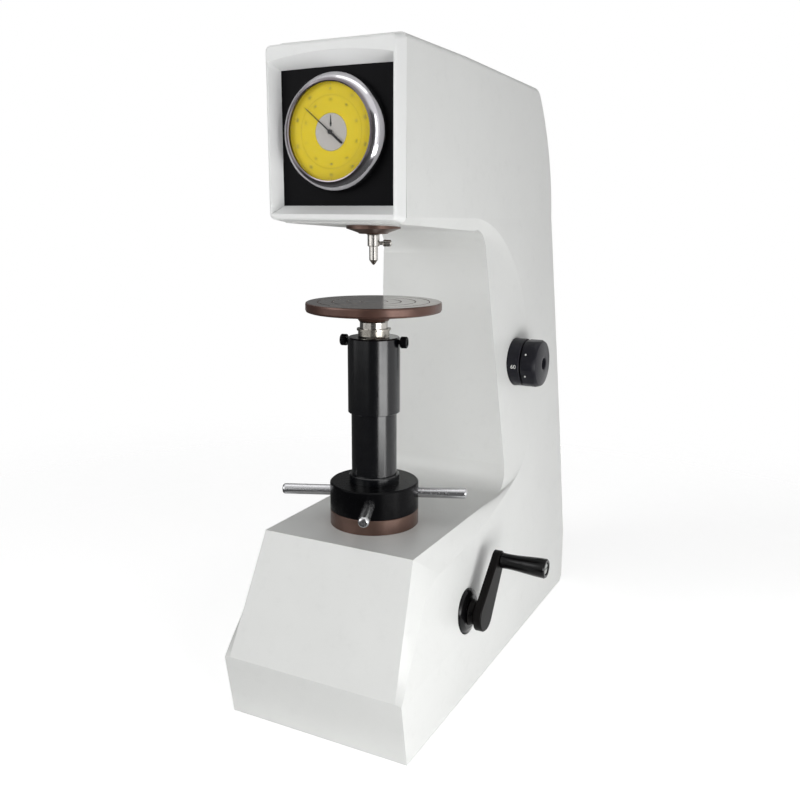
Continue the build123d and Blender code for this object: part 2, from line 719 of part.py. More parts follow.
with BuildPart() as hanger_rod:
    # Stirrup on the lever's rear pin, rod through the weights, foot flange, dashpot rod.
    for x in (-13, 9):
        with BuildSketch(across(x, hanger_y, 0)):
            Polygon((-9, 572), (9, 572), (9, 608), (-9, 608), align=None)
        extrude(amount=4)
    with BuildSketch(Plane.XY.offset(570)):
        with Locations((0, hanger_y)):
            Rectangle(26, 18)
    extrude(amount=8)
    with BuildSketch(across(-14, hanger_y, pivot_z)):
        Circle(3.5 + 0.7)
    extrude(amount=28, mode=Mode.SUBTRACT)
    for low, high, r in (
        (weight_low - 0.1, 571, 5),
        (weight_low - 6, weight_low, 30),
        (92, weight_low - 5, 4),
    ):
        with BuildSketch(Plane.XY.offset(low)):
            with Locations((0, hanger_y)):
                Circle(r)
        extrude(amount=high - low)
hanger_rod.part.label = "hanger_rod"
export_step(hanger_rod.part, "parts/hanger_rod.step")


def weight_disc(level):
    """Cast disc with its slot, turned so that the slots of a stack don't line up."""
    low = weight_low + 0.1 + level * weight_pitch
    with BuildSketch(Plane.XY.offset(low)) as plan:
        with Locations(Location((0, hanger_y, 0), 120 * level)):
            Circle(60)
            with Locations((0, 32)):
                Rectangle(11, 64, mode=Mode.SUBTRACT)
            Circle(5.5, mode=Mode.SUBTRACT)
    extrude(plan.sketch, amount=weight_pitch - 2)


with BuildPart() as weight_60:
    weight_disc(0)
weight_60.part.label = "weight_60"
export_step(weight_60.part, "parts/weight_60.step")

with BuildPart() as weight_100:
    weight_disc(1)
weight_100.part.label = "weight_100"
export_step(weight_100.part, "parts/weight_100.step")

with BuildPart() as weight_150:
    weight_disc(2)
weight_150.part.label = "weight_150"
export_step(weight_150.part, "parts/weight_150.step")

with BuildPart() as dashpot_piston:
    with BuildSketch(Plane.XY.offset(84)):
        with Locations((0, hanger_y)):
            Circle(22 - 0.08)
    extrude(amount=7.9)
dashpot_piston.part.label = "dashpot_piston"
export_step(dashpot_piston.part, "parts/dashpot_piston.step")

with BuildPart() as dashpot_cylinder:
    # Oil cylinder on the shelf, its cap guiding the piston rod.
    with BuildSketch(Plane.XY.offset(26.05)):
        with Locations((0, hanger_y)):
            Circle(33)
    extrude(amount=6)
    with BuildSketch(Plane.XY.offset(32)):
        with Locations((0, hanger_y)):
            Circle(28)
    extrude(amount=138)
    with BuildSketch(Plane.XY.offset(36)):
        with Locations((0, hanger_y)):
            Circle(22)
    extrude(amount=128, mode=Mode.SUBTRACT)
    with BuildSketch(Plane.XY.offset(160)):
        with Locations((0, hanger_y)):
            Circle(4.1)
    extrude(amount=12, mode=Mode.SUBTRACT)
dashpot_cylinder.part.label = "dashpot_cylinder"
export_step(dashpot_cylinder.part, "parts/dashpot_cylinder.step")

with BuildPart() as lifting_rod:
    # Stands on the rock shaft's rear arm and holds the lever up by its side pin.
    with BuildSketch(Plane.XY.offset(87)):
        with Locations((lift_x, lift_y)):
            Circle(5)
    extrude(amount=pivot_z - 3.5 - gap - 87)
    fillet(lifting_rod.edges().sort_by(Axis.Z)[0], 4)
lifting_rod.part.label = "lifting_rod"
export_step(lifting_rod.part, "parts/lifting_rod.step")

with BuildPart() as rod_bush:
    with BuildSketch(Plane.XY.offset(441)):
        with Locations((lift_x, lift_y)):
            Circle(9)
            Circle(5 + running, mode=Mode.SUBTRACT)
    extrude(amount=20)
    with BuildSketch(Plane.XY.offset(458.05)):
        with Locations((lift_x, lift_y)):
            Circle(12)
            Circle(5 + running, mode=Mode.SUBTRACT)
    extrude(amount=3)
rod_bush.part.label = "rod_bush"
export_step(rod_bush.part, "parts/rod_bush.step")

# ---- Crank, its shaft and cam, and the rock shaft that the cam turns ----

pitch_y = (crank_y - rock_ratio * rock_y) / (1 - rock_ratio)
pitch_z = (crank_z - rock_ratio * rock_z) / (1 - rock_ratio)


def cam_point(turn):
    """Point of the cam, from its axis, that meets the rock shaft's pad at this turn of the crank.

    The pad's normal there runs through the pitch point, so the rock shaft turns evenly with the crank.
    """
    tilt = rock_ratio * turn
    from_rock = (pitch_y - rock_y) * sin(tilt) + (pitch_z - rock_z) * cos(tilt)
    reach = from_rock - (crank_z - cam_lift - rock_z)
    y = pitch_y - reach * sin(tilt) - crank_y
    z = pitch_z - reach * cos(tilt) - crank_z
    return (y * cos(turn) - z * sin(turn), y * sin(turn) + z * cos(turn))


with BuildPart() as lifting_cam:
    with BuildSketch(across(60, crank_y, crank_z)):
        overrun = 0.25
        sweep = radians(crank_turn) + 2 * overrun
        flank = [cam_point(sweep * step / 8 - overrun) for step in range(9)]
        with BuildLine():
            Spline(*flank)
            Line(flank[-1], (9, 8.5))
            ThreePointArc((9, 8.5), (-3, 12.5), (-12, 3))
            Line((-12, 3), flank[0])
        make_face()
        Circle(8.02, mode=Mode.SUBTRACT)
    extrude(amount=10)
lifting_cam.part.label = "lifting_cam"
export_step(lifting_cam.part, "parts/lifting_cam.step")

with BuildPart() as crank_shaft:
    with BuildSketch(across(57, crank_y, crank_z)):
        Circle(8)
    extrude(amount=69)
crank_shaft.part.label = "crank_shaft"
export_step(crank_shaft.part, "parts/crank_shaft.step")

with BuildPart() as crank_bush:
    with BuildSketch(across(77, crank_y, crank_z)):
        Circle(12)
        Circle(8 + running, mode=Mode.SUBTRACT)
    extrude(amount=crank_seat_x - 77.1)
crank_bush.part.label = "crank_bush"
export_step(crank_bush.part, "parts/crank_bush.step")


def side_section(y, z, *points):
    """Solid turned about a line along X through y and z: points are (x, radius)."""
    with BuildSketch(Plane.XY.offset(z)) as section:
        Polygon(*[(x, y + radius) for x, radius in points], align=None)
    revolve(section.sketch, axis=Axis((0, y, z), (1, 0, 0)))


with BuildPart() as crank_flange:
    side_section(crank_y, crank_z, (crank_seat_x + 0.1, 8.4), (crank_seat_x + 0.1, crank_flange_r),
                 (crank_seat_x + 2.5, crank_flange_r), (crank_seat_x + 4.5, crank_flange_r - 1.5),
                 (crank_seat_x + 7, 19.5), (crank_seat_x + 8, 8.4))
crank_flange.part.label = "crank_flange"
export_step(crank_flange.part, "parts/crank_flange.step")

arm_x = 123.0
arm_thick = 9.0

with BuildPart() as crank_arm:
    # Flat bar tapering to the grip, with the waisted boss that is pinned to the shaft.
    with BuildSketch(across(arm_x, crank_y, crank_z)):
        Circle(19)
        with Locations((grip_y - crank_y, grip_z - crank_z)):
            Circle(11)
        make_hull()
    extrude(amount=arm_thick)
    chamfer(crank_arm.faces().sort_by(Axis.X)[-1].edges(), 1.2)
    side_section(crank_y, crank_z, (arm_x - 9.1, 0), (arm_x - 9.1, 15.4), (arm_x - 6.6, 14),
                 (arm_x - 4, 13.6), (arm_x - 1.8, 14.8), (arm_x, 17.2), (arm_x, 0))
    with BuildSketch(across(100, crank_y, crank_z)):
        Circle(8.02)
    extrude(amount=26.1, mode=Mode.SUBTRACT)
    with BuildSketch(across(arm_x - 1, grip_y, grip_z)):
        Circle(4.02)
    extrude(amount=20, mode=Mode.SUBTRACT)
crank_arm.part.label = "crank_arm"
export_step(crank_arm.part, "parts/crank_arm.step")

grip_start = arm_x + arm_thick + 0.4
grip_end = 187.0

with BuildPart() as crank_grip:
    with BuildSketch(Plane.XY.offset(grip_z)):
        with BuildLine():
            Polyline((grip_start, grip_y + 4.1), (grip_start, grip_y + 8.6), (grip_start + 1, grip_y + 9.2))
            Spline((grip_start + 1, grip_y + 9.2), (grip_start + 22, grip_y + 9.4),
                   (grip_end - 12, grip_y + 11), (grip_end - 1.5, grip_y + 11.4))
            Polyline((grip_end - 1.5, grip_y + 11.4), (grip_end, grip_y + 10.2), (grip_end, grip_y + 7.4),
                     (grip_end - 5, grip_y + 7.4), (grip_end - 5, grip_y + 4.1), (grip_start, grip_y + 4.1))
        make_face()
    revolve(axis=Axis((0, grip_y, grip_z), (1, 0, 0)))
crank_grip.part.label = "crank_grip"
export_step(crank_grip.part, "parts/crank_grip.step")

with BuildPart() as grip_screw:
    side_section(grip_y, grip_z, (arm_x + 0.5, 0), (arm_x + 0.5, 4), (grip_end - 4.8, 4),
                 (grip_end - 4.8, 7), (grip_end - 2, 7), (grip_end - 1, 6), (grip_end - 1, 0))
    with BuildSketch(across(grip_end - 2.4, grip_y, grip_z)):
        Rectangle(15, 1.4)
    extrude(amount=3, mode=Mode.SUBTRACT)
grip_screw.part.label = "grip_screw"
export_step(grip_screw.part, "parts/grip_screw.step")

front_pad_z = crank_z - cam_lift - gap
rear_pad_z = 86.6

with BuildPart() as rock_shaft:
    # Shaft with two arms: the cam pushes the front pad down, the rear pad carries the rod.
    with BuildSketch(across(-7, rock_y, rock_z)):
        Circle(8)
    extrude(amount=96)
    with BuildSketch(across(60, rock_y, rock_z)):
        Circle(13)
        Polygon((0, 12), (-60, front_pad_z - rock_z), (-98, front_pad_z - rock_z), (-98, -6), (-60, -10),
                (0, -12), align=None)
    extrude(amount=10)
    with BuildSketch(across(lift_x - 5, rock_y, rock_z)):
        Circle(13)
        Polygon((0, 12), (80, rear_pad_z - rock_z), (104, rear_pad_z - rock_z), (104, -4), (80, -8),
                (0, -12), align=None)
    extrude(amount=10)
rock_shaft.part.label = "rock_shaft"
export_step(rock_shaft.part, "parts/rock_shaft.step")

# ---- Load selector: shaft with its finger cams, bush, fixed scale ring and knob ----

knob_x = 101.0
knob_end = 122.5
reveal = 2.1
ring_end = knob_x - reveal - 0.2

with BuildPart() as selector_shaft:
    with BuildSketch(across(-70, knob_y, knob_z)):
        Circle(6)
    extrude(amount=114 + 70)
selector_shaft.part.label = "selector_shaft"
export_step(selector_shaft.part, "parts/selector_shaft.step")

with BuildPart() as selector_cams:
    # Three notched cams, a third of a turn apart, one for each load.
    for step in range(3):
        with BuildSketch(across(-34 + 26 * step, knob_y, knob_z)):
            Circle(13)
            with PolarLocations(13.5, 1, 90 + 120 * step):
                Circle(5, mode=Mode.SUBTRACT)
            Circle(6.02, mode=Mode.SUBTRACT)
        extrude(amount=8)
selector_cams.part.label = "selector_cams"
export_step(selector_cams.part, "parts/selector_cams.step")

with BuildPart() as selector_bush:
    with BuildSketch(across(58.5, knob_y, knob_z)):
        Circle(10)
        Circle(6 + running, mode=Mode.SUBTRACT)
    extrude(amount=knob_seat_x - 58.7)
selector_bush.part.label = "selector_bush"
export_step(selector_bush.part, "parts/selector_bush.step")

with BuildPart() as load_scale_ring:
    side_section(knob_y, knob_z, (knob_seat_x + 0.1, 6.4), (knob_seat_x + 0.1, 30.6), (ring_end - 0.8, 30.6),
                 (ring_end, 29.8), (ring_end, 6.4))
load_scale_ring.part.label = "load_scale_ring"
export_step(load_scale_ring.part, "parts/load_scale_ring.step")

with BuildPart() as force_knob:
    # Round knob with a coned end, a recessed foot and six shallow flats, bored for its fixing screw.
    side_section(knob_y, knob_z, (knob_x - reveal, 0), (knob_x - reveal, 26), (knob_x, 26), (knob_x, 31),
                 (knob_end - 10.1, 31), (knob_end, 12), (knob_end, 0))
    with BuildSketch(across(knob_x - reveal, knob_y, knob_z)):
        RegularPolygon(29.2, 6, rotation=30, major_radius=False)
    extrude(amount=knob_end - knob_x + reveal, mode=Mode.INTERSECT)
    with BuildSketch(across(knob_x - reveal - 1, knob_y, knob_z)):
        Circle(6.02)
    extrude(amount=knob_end, mode=Mode.SUBTRACT)
    with BuildSketch(across(114.2, knob_y, knob_z)):
        Circle(7.7)
    extrude(amount=20, mode=Mode.SUBTRACT)
force_knob.part.label = "force_knob"
export_step(force_knob.part, "parts/force_knob.step")
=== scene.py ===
from math import atan2, cos, hypot, pi, radians, sin

import bpy
from mathutils import Matrix, Vector


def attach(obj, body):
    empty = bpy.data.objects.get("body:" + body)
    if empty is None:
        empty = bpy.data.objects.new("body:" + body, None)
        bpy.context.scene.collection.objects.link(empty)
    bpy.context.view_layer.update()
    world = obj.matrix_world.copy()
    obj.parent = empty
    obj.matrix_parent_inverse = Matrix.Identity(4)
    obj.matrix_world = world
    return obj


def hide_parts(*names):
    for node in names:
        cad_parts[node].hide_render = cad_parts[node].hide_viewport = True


# ---- Camera ----
# It stands in front of the tester and to its right, a little below the height of the dial,
# and looks slightly down through a lens of about 39 mm.

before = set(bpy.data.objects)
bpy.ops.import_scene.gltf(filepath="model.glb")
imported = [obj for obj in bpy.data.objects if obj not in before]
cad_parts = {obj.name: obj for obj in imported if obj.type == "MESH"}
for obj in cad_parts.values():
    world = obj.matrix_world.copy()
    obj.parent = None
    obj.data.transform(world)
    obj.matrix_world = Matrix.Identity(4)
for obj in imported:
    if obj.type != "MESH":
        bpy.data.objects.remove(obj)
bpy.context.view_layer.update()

camera_place = (0.46624, -0.83566, 0.55432)
degrees_left = 27.41
degrees_down = 12.25
degrees_rolled = 0.18
eye = bpy.data.cameras.new("tester_camera")
eye.lens = 39.13
eye.sensor_width = 36.0
eye.clip_end = 20.0
camera = bpy.data.objects.new("tester_camera", eye)
bpy.context.scene.collection.objects.link(camera)
camera.matrix_world = (
    Matrix.Translation(camera_place)
    @ Matrix.Rotation(radians(degrees_left), 4, "Z")
    @ Matrix.Rotation(radians(90 - degrees_down), 4, "X")
    @ Matrix.Rotation(radians(degrees_rolled), 4, "Z")
)
bpy.context.scene.camera = camera

# ---- Studio ----
# The tester stands on pale paper that fades into a white backdrop, among large soft lamps.
# Grey cards out of view stand round it, for the bright metals and black enamels to mirror.


class Coat:
    """One socket in a finish's node tree. Arithmetic on it adds Math nodes."""

    def __init__(self, tree, socket):
        self.tree = tree
        self.socket = socket

    def node(self, kind, settings, sockets, out=0):
        """Adds a node of this type: its settings first, then what goes into its sockets."""
        made = self.tree.nodes.new("ShaderNode" + kind)
        for name, value in settings.items():
            setattr(made, name, value)
        for name, value in sockets.items():
            if isinstance(value, Coat):
                self.tree.links.new(value.socket, made.inputs[name])
            else:
                made.inputs[name].default_value = value
        return Coat(self.tree, made.outputs[out])

    def close(self, kind="OutputMaterial"):
        """Makes this shader the surface of its material, or of the world."""
        end = self.tree.nodes.new("ShaderNode" + kind)
        self.tree.links.new(self.socket, end.inputs["Surface"])

    def maths(self, operation, *values):
        return self.node("Math", {"operation": operation}, dict(enumerate(values)))

    def __add__(self, other):
        return self.maths("ADD", self, other)

    __radd__ = __add__

    def __sub__(self, other):
        return self.maths("SUBTRACT", self, other)

    def __rsub__(self, other):
        return self.maths("SUBTRACT", other, self)

    def __mul__(self, other):
        return self.maths("MULTIPLY", self, other)

    __rmul__ = __mul__

    def __gt__(self, other):
        return self.maths("GREATER_THAN", self, other)

    def __lt__(self, other):
        return self.maths("LESS_THAN", self, other)

    def noise(self, scale, detail=3.0, roughness=0.55):
        """Cloudy pattern from 0 to 1 at this position, with this many patches a metre."""
        return self.node("TexNoise", {}, {"Vector": self, "Scale": scale, "Detail": detail,
                                          "Roughness": roughness})

    def rings(self, scale, detail):
        """Pattern from 0 to 1 along a distance, with this many lines a metre."""
        return self.node("TexNoise", {"noise_dimensions": "1D"},
                         {"W": self, "Scale": scale, "Detail": detail})

    def stretched(self, x, y, z, centre=(0, 0, 0)):
        """The position, scaled along each axis about a centre."""
        moved = tuple(-c * s for c, s in zip(centre, (x, y, z)))
        return self.node("Mapping", {}, {"Vector": self, "Location": moved, "Scale": (x, y, z)})

    def part(self, axis):
        """Distance along X, Y or Z."""
        return self.node("SeparateXYZ", {}, {0: self}, out="XYZ".index(axis))

    def length(self):
        """Distance of the position from the origin."""
        return self.node("VectorMath", {"operation": "LENGTH"}, {0: self}, out="Value")

    def blend(self, under, over):
        """Colour that goes from under to over as this value goes from 0 to 1."""
        return self.node("Mix", {"data_type": "RGBA"}, {0: self, 6: under, 7: over}, out=2)

    def ease(self, low, high):
        """This value, mapped smoothly from low..high to 0..1."""
        return self.node("MapRange", {"interpolation_type": "SMOOTHSTEP"}, {0: self, 1: low, 2: high})


def new_finish(name):
    """A finish with an empty node tree, and the position on the piece, in metres."""
    finish = bpy.data.materials.new(name)
    finish.use_nodes = True
    finish.node_tree.nodes.clear()
    place = finish.node_tree.nodes.new("ShaderNodeTexCoord")
    return finish, Coat(finish.node_tree, place.outputs["Object"])


def rays(here, *kinds):
    """1 for a ray of one of these kinds, and 0 for any other."""
    either, *others = [here.node("LightPath", {}, {}, out=kind) for kind in kinds]
    for other in others:
        either = here.maths("MAXIMUM", either, other)
    return either


def soft_lamp(name, place, aim, width, height, watts):
    """Rectangular lamp at a place, facing the point it is aimed at."""
    light = bpy.data.lights.new(name, "AREA")
    light.shape = "RECTANGLE"
    light.size = width
    light.size_y = height
    light.energy = watts
    lamp = bpy.data.objects.new(name, light)
    bpy.context.scene.collection.objects.link(lamp)
    lamp.location = place
    lamp.rotation_euler = (Vector(aim) - Vector(place)).to_track_quat("-Z", "Y").to_euler()


soft_lamp("lamp_front_left", (-1.6, -2.0, 1.3), aim=(0, 0, 0.35), width=1.4, height=1.8, watts=25)
soft_lamp("lamp_front", (0.3, -2.6, 0.9), aim=(0, 0, 0.35), width=1.4, height=1.4, watts=6)
soft_lamp("lamp_low_right", (0.95, -0.35, 0.10), aim=(0.1, 0.05, 0.10), width=0.7, height=0.4, watts=7.2)
soft_lamp("strip_right", (1.7, -1.1, 0.75), aim=(0, 0, 0.4), width=0.3, height=1.5, watts=5.5)
soft_lamp("lamp_overhead", (0.1, 0.1, 2.6), aim=(0, 0.1, 0.3), width=1.8, height=1.8, watts=13)
soft_lamp("lamp_back", (-0.5, 2.6, 0.9), aim=(0, 0.4, 0.4), width=1.4, height=1.4, watts=15)


def grey_card(name, place, turn, width, height, grey, tilt=pi / 2):
    """Grey card out of view that only polished surfaces mirror, so that they read as metal."""
    bpy.ops.object.select_all(action="DESELECT")
    bpy.ops.mesh.primitive_plane_add(size=1, location=place, rotation=(tilt, 0, turn))
    card = bpy.context.object
    card.name = name
    card.scale = (width, height, 1)
    card.visible_camera = False
    card.visible_diffuse = False
    card.visible_shadow = False
    card.visible_transmission = False
    board, here = new_finish(name)
    here.node("Emission", {}, {"Strength": grey}).close()
    card.data.materials.append(board)


just_over_floor = 0.0004
grey_card("card_behind_camera", (0.75, -1.45, 0.75), radians(27), width=1.3, height=1.5, grey=0.10)
grey_card("card_behind_tester", (-1.0, 1.9, 1.2), 0, width=2.6, height=2.4, grey=0.2)
grey_card("card_left", (-1.7, 0.3, 0.9), radians(90), width=2.0, height=1.6, grey=0.10)
grey_card("card_on_floor", (0, -1.45, just_over_floor), 0, width=4.4, height=2.6, grey=0.10, tilt=0)
grey_card("card_on_floor_left", (-1.4, 1.05, just_over_floor), 0, width=2.4, height=2.4, grey=0.10, tilt=0)

floor_width = 12
floor_drop = 0.0005
bpy.ops.object.select_all(action="DESELECT")
bpy.ops.mesh.primitive_plane_add(size=floor_width, location=(0, 0, -floor_drop))
floor = bpy.context.object
floor.name = "studio_floor"

paper_grey = (0.88, 0.88, 0.88, 1)
glow_on_things = 0.10
glow_in_view = 0.5
fade_start = 0.5
fade_end = 1.5
paper, here = new_finish("studio_paper")
in_view = rays(here, "Is Camera Ray", "Is Glossy Ray")
level = here.node("MapRange", {}, {"Value": in_view, "To Min": glow_on_things, "To Max": glow_in_view})
glow = here.node("Emission", {}, {"Strength": level})
sheet = here.node("BsdfDiffuse", {}, {"Color": paper_grey})
lit = here.node("AddShader", {}, {0: sheet, 1: glow})
clear = here.node("BsdfTransparent", {}, {})
fading = here.length().ease(fade_start, fade_end)
here.node("MixShader", {}, {0: fading, 1: lit, 2: clear}).close()
floor.data.materials.append(paper)

fill_strength = 0.15
backdrop_strength = 1.0
studio = bpy.data.worlds.new("studio")
bpy.context.scene.world = studio
studio.use_nodes = True
studio.node_tree.nodes.clear()
air = Coat(studio.node_tree, None)
fill_light = air.node("Background", {}, {"Color": (1, 1, 1, 1), "Strength": fill_strength})
backdrop = air.node("Background", {}, {"Color": (1, 1, 1, 1), "Strength": backdrop_strength})
through = rays(air, "Is Camera Ray", "Is Glossy Ray", "Is Transmission Ray")
air.node("MixShader", {}, {0: through, 1: fill_light, 2: backdrop}).close("OutputWorld")
bpy.context.scene.view_settings.view_transform = "Standard"

# ---- C-shaped casting ----
# A hollow iron casting that carries everything else: base, column and head in one piece.
# It is filled, rubbed down and sprayed off-white, which leaves a faint orange peel.


def display(red, green, blue):
    """Linear colour of a display colour given from 0 to 255."""
    return tuple(((v / 255 + 0.055) / 1.055) ** 2.4 for v in (red, green, blue)) + (1.0,)


def lay(finish, here, relief, depth, **sockets):
    """Closes a finish: relief is its height from 0 to 1, depth that height in metres."""
    bumped = here.node("Bump", {}, {"Strength": 1.0, "Distance": depth, "Height": relief})
    filled = {name.replace("_", " "): value for name, value in sockets.items()}
    here.node("BsdfPrincipled", {}, {"Normal": bumped, **filled}).close()
    return finish


def wear(finish, *nodes):
    """Gives CAD nodes this finish in place of the one they were packed with."""
    for node in nodes:
        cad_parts[node].data.materials.clear()
        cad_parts[node].data.materials.append(finish)


def cast_enamel(name, light, shade):
    """Sprayed enamel over filler: orange peel, slow waviness and a faint bloom of dust."""
    finish, here = new_finish(name)
    peel = here.noise(950, 2.0)
    sag = here.noise(14, 2.0)
    dust = here.noise(60, 6.0, 0.7).ease(0.5, 0.8)
    colour = (sag * 0.5 + dust * 0.35).blend(light, shade)
    return lay(finish, here, peel * 0.4 + sag * 6.0, 0.00012, Base_Color=colour,
               Roughness=peel * 0.1 + dust * 0.08 + 0.3, Specular_IOR_Level=0.4)


off_white = cast_enamel("casting_enamel", display(229, 230, 228), display(219, 220, 218))
wear(off_white, "body_casting", "rear_cover", "top_cover")

# ---- Cover screws ----
# Eight pan-headed steel screws hold the rear and the top cover to the casting, four in each.
# They are turned and zinc plated.


def bright_steel(name, colour, grain, roughness, depth=0.00002):
    """Bare or plated steel with fine machining marks: grain is how often they come along X, Y, Z."""
    finish, here = new_finish(name)
    marks = here.stretched(*grain).noise(1.0, 4.0, 0.7)
    cloud = here.noise(90, 3.0)
    clouded = tuple(v * 0.72 for v in colour[:3]) + (1.0,)
    tint = (cloud * 0.6).blend(colour, clouded)
    return lay(finish, here, marks, depth, Base_Color=tint, Metallic=1.0,
               Roughness=marks * 0.16 + cloud * 0.1 + roughness)


zinc = bright_steel("zinc_plate", display(190, 192, 190), grain=(900, 900, 900), roughness=0.24)
wear(zinc, "cover_screws")

# ---- Head front ----
# A pressed frame, sprayed like the casting but smoother, closes the head round a black panel.
# The panel is sheet metal in a fine satin enamel.

bezel_white = cast_enamel("bezel_enamel", display(245, 246, 245), display(238, 239, 238))
wear(bezel_white, "front_bezel")

panel_light = display(10, 10, 13)
panel_dark = display(6, 6, 8)
panel_finish, here = new_finish("panel_enamel")
grit = here.noise(2600, 2.0)
cloud = here.noise(45, 4.0)
lay(panel_finish, here, grit, 0.00003, Base_Color=cloud.blend(panel_light, panel_dark),
    Roughness=grit * 0.18 + cloud * 0.1 + 0.36, Specular_IOR_Level=0.05)
wear(panel_finish, "gauge_panel")

# ---- Gauge ----
# Movement case, chromed ring, yellow scale disc carried by the ring, fixed grey centre, two hands.
# The figures and divisions are printed in black ink on the discs.


def flecked(name, light, dark, grain, depth, variation, roughness, **sockets):
    """Plain paint, print or enamel: one fleck in its colour, its height and its roughness."""
    finish, here = new_finish(name)
    fleck = here.noise(*grain)
    return lay(finish, here, fleck, depth, Base_Color=fleck.blend(light, dark),
               Roughness=fleck * variation + roughness, **sockets)


gauge_z = 0.6294
case_finish = flecked("gauge_case_lacquer", display(20, 20, 22), display(13, 13, 15),
                      grain=(1200, 3.0), depth=0.00004, variation=0.2, roughness=0.4,
                      Specular_IOR_Level=0.1)
wear(case_finish, "gauge_case")


def radius_from(here, centre, along):
    """Distance from an axis through the centre along X, Y or Z, in metres."""
    spread = [0.0 if axis == along else 1.0 for axis in "XYZ"]
    return here.stretched(*spread, centre=centre).length()


# The ring's inner lip is painted darker: painted shade, for the shadow in the bore of the ring. The lip is
# also a little rougher than the polished rim outside it.
lip_inner = 0.0485
lip_outer = 0.0515
lip_painted_shade = display(118, 112, 116)
chrome_light = display(214, 212, 216)
chrome_dark = display(192, 190, 195)
chrome_finish, here = new_finish("ring_chrome")
smear = here.noise(120, 4.0)
swirl = here.noise(700, 2.0)
polished_rim_clear_of_painted_shade = radius_from(here, (0, 0, gauge_z), "Y").ease(lip_inner, lip_outer)
chrome = smear.blend(chrome_light, chrome_dark)
lay(chrome_finish, here, swirl, 0.000004, Base_Color=polished_rim_clear_of_painted_shade.blend(lip_painted_shade, chrome),
    Metallic=1.0, Roughness=smear * 0.08 + 0.14 - polished_rim_clear_of_painted_shade * 0.04)
wear(chrome_finish, "dial_ring")

yellow_light = display(250, 222, 22)
yellow_dark = display(238, 210, 18)
yellow_finish, here = new_finish("dial_yellow_print")
fleck = here.noise(2200, 3.0)
fade = here.noise(40, 3.0)
lay(yellow_finish, here, fleck, 0.000006, Base_Color=(fade * 0.7).blend(yellow_light, yellow_dark),
    Roughness=fleck * 0.12 + 0.42, Specular_IOR_Level=0.2)
wear(yellow_finish, "dial_face")

satin_light = display(210, 206, 201)
satin_dark = display(196, 192, 187)
centre_finish, here = new_finish("dial_centre_satin")
brushing = here.stretched(60, 60, 5200).noise(1.0, 3.0)
lay(centre_finish, here, brushing, 0.000005, Base_Color=brushing.blend(satin_light, satin_dark),
    Roughness=brushing * 0.15 + 0.4, Specular_IOR_Level=0.3)
wear(centre_finish, "dial_centre")

crystal_grey = (0.2, 0.2, 0.2, 1.0)
crystal_finish, here = new_finish("crystal_glass")
haze = here.noise(80, 4.0)
lay(crystal_finish, here, haze, 0.000002, Base_Color=crystal_grey,
    Roughness=haze * 0.03 + 0.02, Alpha=haze * 0.01 + 0.025)
wear(crystal_finish, "dial_crystal")

hand_finish = flecked("hand_lacquer", display(18, 18, 20), display(28, 28, 30),
                      grain=(3000, 3.0), depth=0.000004, variation=0.15, roughness=0.3,
                      Specular_IOR_Level=0.15)
wear(hand_finish, "long_pointer", "small_pointer")

ink = flecked("scale_ink", display(38, 33, 22), display(60, 52, 34),
              grain=(6000, 3.0), depth=0.000004, variation=0.15, roughness=0.4)


def only(piece):
    """Selects this piece alone and makes it active."""
    bpy.ops.object.select_all(action="DESELECT")
    piece.select_set(True)
    bpy.context.view_layer.objects.active = piece


def settle(piece):
    """Puts the piece's place, turn and size into its mesh."""
    only(piece)
    bpy.ops.object.transform_apply(location=True, rotation=True, scale=True)


def join(name, pieces, finish):
    """Joins pieces into one, named and finished."""
    bpy.ops.object.select_all(action="DESELECT")
    for piece in pieces:
        piece.select_set(True)
    bpy.context.view_layer.objects.active = pieces[0]
    bpy.ops.object.join()
    whole = bpy.context.object
    whole.name = name
    whole.data.name = name
    whole.data.materials.clear()
    whole.data.materials.append(finish)
    return whole


face_y = -0.08433
print_height = 0.00006


def dial_point(angle, reach, middle_z=gauge_z):
    """Point on the face of the dial, clockwise from the top as seen from the front."""
    return (reach * sin(angle), face_y, middle_z + reach * cos(angle))


def stroke(angle, place, width, length):
    """Printed line at a place on the dial, pointing to the middle."""
    bpy.ops.object.select_all(action="DESELECT")
    bpy.ops.mesh.primitive_cube_add(size=1, location=place, rotation=(0, angle, 0))
    line = bpy.context.object
    line.scale = (width, print_height, length)
    settle(line)
    return line


def stamp(text, size, spot):
    """Printed figure, laid where the matrix puts it: it reads along X and faces Z before that."""
    bpy.ops.object.select_all(action="DESELECT")
    bpy.ops.object.text_add(location=(0, 0, 0))
    letters = bpy.context.object
    letters.data.body = text
    letters.data.size = size
    letters.data.align_x = "CENTER"
    letters.data.align_y = "CENTER"
    letters.data.resolution_u = 2
    letters.data.extrude = print_height / 2
    bpy.ops.object.convert(target="MESH")
    letters = bpy.context.object
    letters.matrix_world = spot
    settle(letters)
    return letters


def figure(text, size, place, turn):
    """Figure on the dial, facing the front, turned clockwise."""
    facing_front = Matrix.Rotation(turn, 4, "Y") @ Matrix.Rotation(radians(90), 4, "X")
    return stamp(text, size, Matrix.Translation(place) @ facing_front)


divisions = 100
division_radius = 0.0460
printed = []
for step in range(divisions):
    line_width = 0.00018
    line_length = 0.0014
    if step % 5 == 0:
        line_length = 0.0020
    if step % 10 == 0:
        line_width = 0.0003
        line_length = 0.0026
    turn = 2 * pi * step / divisions
    inner_radius = division_radius - line_length
    place = dial_point(turn, (inner_radius + division_radius) / 2)
    printed.append(stroke(turn, place, line_width, division_radius - inner_radius))

outer_figures = 0.0402
inner_figures = 0.0300
outer_size = 0.0040
inner_size = 0.0034
inner_scale_lead = 30
for step in range(10):
    turn = 2 * pi * step / 10
    outer_value = step * 10
    inner_value = (outer_value + inner_scale_lead) % 100
    printed.append(figure(str(outer_value), outer_size, dial_point(turn, outer_figures), turn))
    printed.append(figure(str(inner_value), inner_size, dial_point(turn, inner_figures), turn))
scale = join("scale_figures", printed, ink)
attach(scale, "dial")

